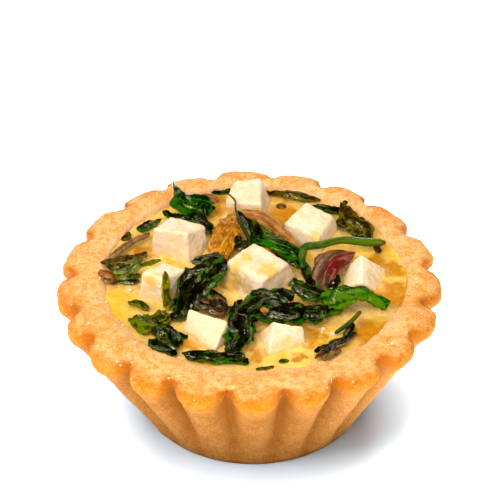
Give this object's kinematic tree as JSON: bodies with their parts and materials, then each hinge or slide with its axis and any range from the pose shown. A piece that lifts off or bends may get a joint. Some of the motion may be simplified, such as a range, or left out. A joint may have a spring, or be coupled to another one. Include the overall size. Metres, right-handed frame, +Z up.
{
  "type": "spinach quiche",
  "caption": "Small round fluted shortcrust quiche with custard filling, pale cheese cubes, wilted spinach leaves and onion on top",
  "frame": {"origin": "centre of the flat underside of the crust, on the table plane", "axes": "+Z up; the front of the quiche faces -Y and +X is its right"},
  "size_m": [0.0887, 0.087, 0.0416],
  "materials": {
    "cheese_back": "soft, slightly crumbly",
    "cheese_back_right": "soft, slightly crumbly",
    "cheese_front": "soft, slightly crumbly",
    "cheese_front_left": "soft, slightly crumbly",
    "cheese_front_right": "soft, slightly crumbly",
    "cheese_left": "soft, slightly crumbly",
    "cheese_left_front": "soft, slightly crumbly",
    "cheese_middle": "soft, slightly crumbly",
    "cheese_right": "soft, slightly crumbly",
    "crust": "matte, grainy baked shortcrust",
    "custard": "soft sheen, set egg custard",
    "leaf_arch": "wet, wilted",
    "leaf_at_rim": "wet, wilted",
    "leaf_back": "wet, wilted",
    "leaf_back_left": "wet, wilted",
    "leaf_back_left_low": "wet, wilted",
    "leaf_back_middle": "wet, wilted",
    "leaf_back_middle_low": "wet, wilted",
    "leaf_back_right": "wet, wilted",
    "leaf_big": "wet, wilted",
    "leaf_big_flap": "wet, wilted",
    "leaf_bright": "wet",
    "leaf_brown_left": "wet, wilted",
    "leaf_centre": "wet, wilted",
    "leaf_curl_left": "wet, wilted",
    "leaf_front": "wet, wilted",
    "leaf_front_left": "wet, wilted",
    "leaf_front_left_dark": "wet, wilted",
    "leaf_front_middle": "wet, wilted",
    "leaf_front_right": "wet, wilted",
    "leaf_left": "wet, wilted",
    "leaf_on_cube": "wet",
    "leaf_right": "wet, wilted",
    "leaf_strip_left": "wet",
    "leaf_under_stalk": "wet, wilted",
    "onion_arch": "wet, translucent",
    "onion_at_rim_left": "wet, translucent",
    "onion_at_rim_right": "wet, translucent",
    "onion_caramel": "wet, translucent",
    "onion_grey": "wet, translucent",
    "onion_red": "wet, translucent",
    "onion_strip_left": "wet, translucent",
    "stalk_back": "wet",
    "stalk_front_right": "wet",
    "stalk_long": "wet"
  },
  "bodies": {
    "root": {"cheese_back": "cheese_back", "cheese_back_right": "cheese_back_right", "cheese_front": "cheese_front", "cheese_front_left": "cheese_front_left", "cheese_front_right": "cheese_front_right", "cheese_left": "cheese_left", "cheese_left_front": "cheese_left_front", "cheese_middle": "cheese_middle", "cheese_right": "cheese_right", "crust": "crust", "custard": "custard", "leaf_arch": "leaf_arch", "leaf_at_rim": "leaf_at_rim", "leaf_back": "leaf_back", "leaf_back_left": "leaf_back_left", "leaf_back_left_low": "leaf_back_left_low", "leaf_back_middle": "leaf_back_middle", "leaf_back_middle_low": "leaf_back_middle_low", "leaf_back_right": "leaf_back_right", "leaf_big": "leaf_big", "leaf_big_flap": "leaf_big_flap", "leaf_bright": "leaf_bright", "leaf_brown_left": "leaf_brown_left", "leaf_centre": "leaf_centre", "leaf_curl_left": "leaf_curl_left", "leaf_front": "leaf_front", "leaf_front_left": "leaf_front_left", "leaf_front_left_dark": "leaf_front_left_dark", "leaf_front_middle": "leaf_front_middle", "leaf_front_right": "leaf_front_right", "leaf_left": "leaf_left", "leaf_on_cube": "leaf_on_cube", "leaf_right": "leaf_right", "leaf_strip_left": "leaf_strip_left", "leaf_under_stalk": "leaf_under_stalk", "onion_arch": "onion_arch", "onion_at_rim_left": "onion_at_rim_left", "onion_at_rim_right": "onion_at_rim_right", "onion_caramel": "onion_caramel", "onion_grey": "onion_grey", "onion_red": "onion_red", "onion_strip_left": "onion_strip_left", "stalk_back": "stalk_back", "stalk_front_right": "stalk_front_right", "stalk_long": "stalk_long"}
  },
  "joints": []
}
